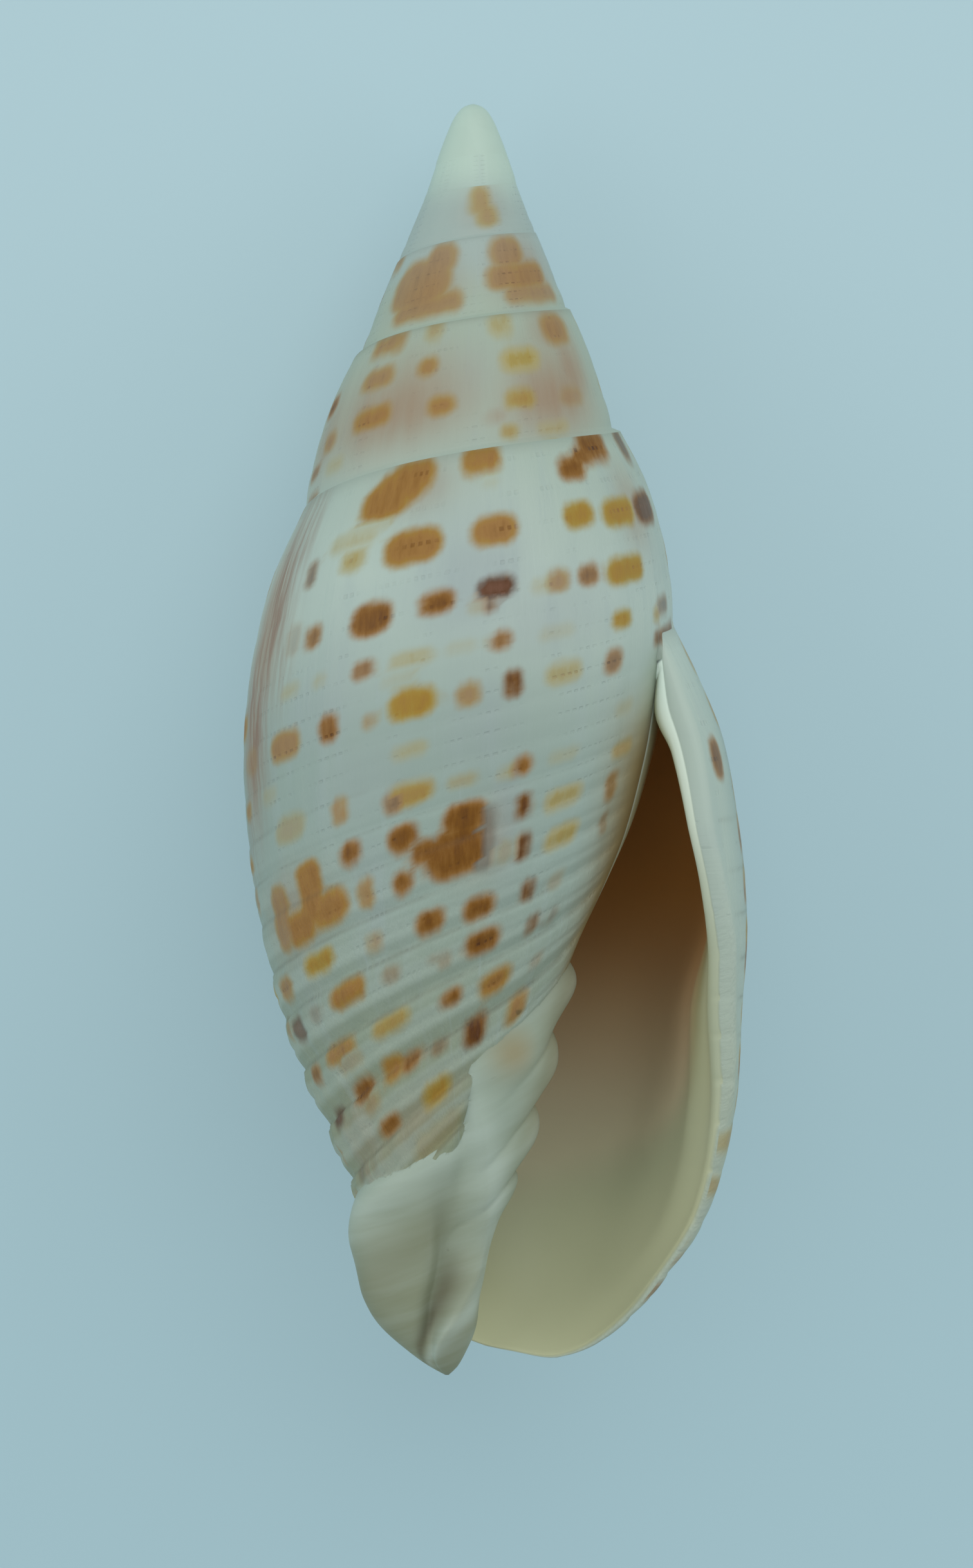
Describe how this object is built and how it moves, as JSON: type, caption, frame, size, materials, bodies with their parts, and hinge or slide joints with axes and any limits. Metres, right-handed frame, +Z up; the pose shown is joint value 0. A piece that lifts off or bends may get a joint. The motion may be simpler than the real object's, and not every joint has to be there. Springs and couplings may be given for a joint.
{
  "type": "mitre shell",
  "caption": "Slender spindle-shaped sea snail shell with a pointed spire, a long narrow aperture, a pleated pillar and rows of spots.",
  "frame": {"origin": "bottom centre of the shell's box, on the surface it lies on", "axes": "+Y along the shell towards the tip of the spire, +Z up out of the aperture side as it lies on its back, +X to the side of the free lip"},
  "size_m": [0.0234, 0.0586, 0.02],
  "materials": {
    "shell": "smooth porcelain-like shell, satin to glossy, cream with orange-brown spots in spiral rows"
  },
  "bodies": {
    "root": {"shell": "shell"}
  },
  "joints": []
}
